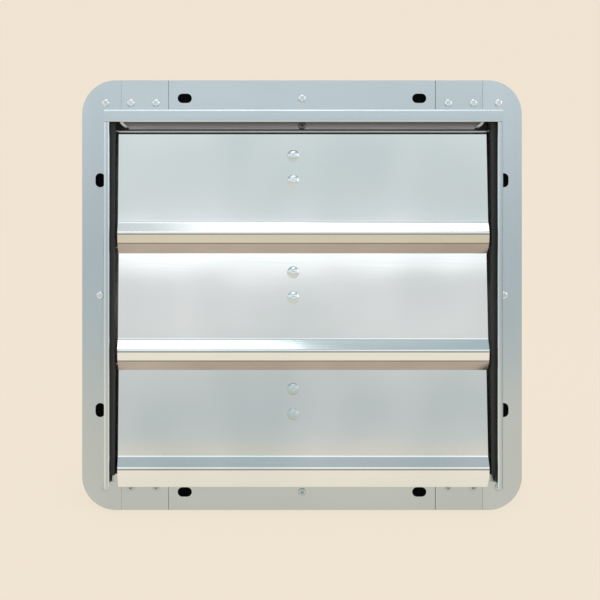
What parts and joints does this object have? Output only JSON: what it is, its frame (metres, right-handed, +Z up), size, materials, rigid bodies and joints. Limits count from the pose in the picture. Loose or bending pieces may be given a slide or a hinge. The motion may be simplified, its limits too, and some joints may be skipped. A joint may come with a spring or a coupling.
{
  "type": "shutter exhaust fan",
  "caption": "Wall exhaust fan with a riveted flange, gravity louvre shutter on a tie bar, sleeve, axial fan wheel, enclosed motor and wire guard.",
  "frame": {"origin": "centre of the mounting slot pattern on the flange's wall-side face", "axes": "+Z up, +X to the right seen from the louvre side, +Y into the wall"},
  "size_m": [0.375, 0.2082, 0.3664],
  "materials": {
    "frame_aluminium": "satin mill finish sheet",
    "blade_aluminium": "bright rolled sheet",
    "link_aluminium": "mill finish",
    "rivet_aluminium": "bright",
    "black_plastic": "moulded",
    "bush_plastic": "moulded, low friction",
    "galvanised_steel": "galvanised sheet",
    "zinc_steel": "zinc plated",
    "fan_aluminium": "stamped sheet",
    "hub_iron": "machined",
    "motor_paint": "satin dark grey enamel",
    "winding_copper": "enamelled winding",
    "guard_wire": "plated wire",
    "capacitor_shell": "moulded case",
    "lead_rubber": "rubber sheath"
  },
  "bodies": {
    "frame": {"bottom_channel": "frame_aluminium", "bottom_stop_rail": "frame_aluminium", "box_cover": "galvanised_steel", "cable_gland": "black_plastic", "capacitor": "capacitor_shell", "capacitor_clip": "galvanised_steel", "corner_plates": "frame_aluminium", "cover_screws": "zinc_steel", "end_windings": "winding_copper", "flange_rivets": "rivet_aluminium", "housing_flange": "frame_aluminium", "junction_box": "galvanised_steel", "left_channel": "frame_aluminium", "left_motor_strap": "motor_paint", "left_pivot_rail": "black_plastic", "motor_bearings": "zinc_steel", "motor_can": "motor_paint", "motor_front_bell": "motor_paint", "motor_lead": "lead_rubber", "motor_plate": "motor_paint", "motor_rear_bell": "motor_paint", "motor_studs": "zinc_steel", "orifice_plate": "galvanised_steel", "panel_screws": "zinc_steel", "pivot_bushes": "bush_plastic", "rail_rivet": "rivet_aluminium", "rear_guard": "guard_wire", "right_channel": "frame_aluminium", "right_motor_strap": "motor_paint", "right_pivot_rail": "black_plastic", "sleeve_bottom": "galvanised_steel", "sleeve_left": "galvanised_steel", "sleeve_right": "galvanised_steel", "sleeve_top": "galvanised_steel", "stator_core": "hub_iron", "strap_bolts": "zinc_steel", "top_channel": "frame_aluminium", "top_stop_rail": "frame_aluminium"},
    "top_louver": {"top_louver": "blade_aluminium", "top_pivot_pins": "zinc_steel", "top_link_bracket": "link_aluminium", "top_blade_rivets": "rivet_aluminium", "top_link_pin": "zinc_steel"},
    "middle_louver": {"middle_louver": "blade_aluminium", "middle_pivot_pins": "zinc_steel", "middle_link_bracket": "link_aluminium", "middle_blade_rivets": "rivet_aluminium", "middle_link_pin": "zinc_steel"},
    "bottom_louver": {"bottom_louver": "blade_aluminium", "bottom_pivot_pins": "zinc_steel", "bottom_link_bracket": "link_aluminium", "bottom_blade_rivets": "rivet_aluminium", "bottom_link_pin": "zinc_steel"},
    "tie_bar": {"tie_bar": "link_aluminium"},
    "fan_rotor": {"fan_wheel": "fan_aluminium", "fan_hub": "hub_iron", "hub_rivets": "rivet_aluminium", "hub_set_screw": "zinc_steel", "motor_shaft": "zinc_steel", "rotor_core": "hub_iron"}
  },
  "joints": [
    {"name": "top_louver_hinge", "type": "hinge", "parent": "frame", "child": "top_louver", "pos_m": [0, -0.0085, 0.1394], "axis": [-1, 0, 0], "range_deg": [0, 72]},
    {"name": "middle_louver_hinge", "type": "hinge", "parent": "frame", "child": "middle_louver", "pos_m": [0, -0.0085, 0.0409], "axis": [-1, 0, 0], "range_deg": [0, 72]},
    {"name": "bottom_louver_hinge", "type": "hinge", "parent": "frame", "child": "bottom_louver", "pos_m": [0, -0.0085, -0.0576], "axis": [-1, 0, 0], "range_deg": [0, 72]},
    {"name": "tie_bar_hinge", "type": "hinge", "parent": "top_louver", "child": "tie_bar", "pos_m": [-0.0132, 0.0235, 0.1394], "axis": [-1, 0, 0], "range_deg": [-72, 0]},
    {"name": "fan_spin", "type": "hinge", "parent": "frame", "child": "fan_rotor", "pos_m": [0, 0.072, 0], "axis": [0, 1, 0], "continuous": true}
  ],
  "couplings": [
    {"joint": "middle_louver_hinge", "follows": "top_louver_hinge", "ratio": 1},
    {"joint": "bottom_louver_hinge", "follows": "top_louver_hinge", "ratio": 1},
    {"joint": "tie_bar_hinge", "follows": "top_louver_hinge", "ratio": -1}
  ]
}
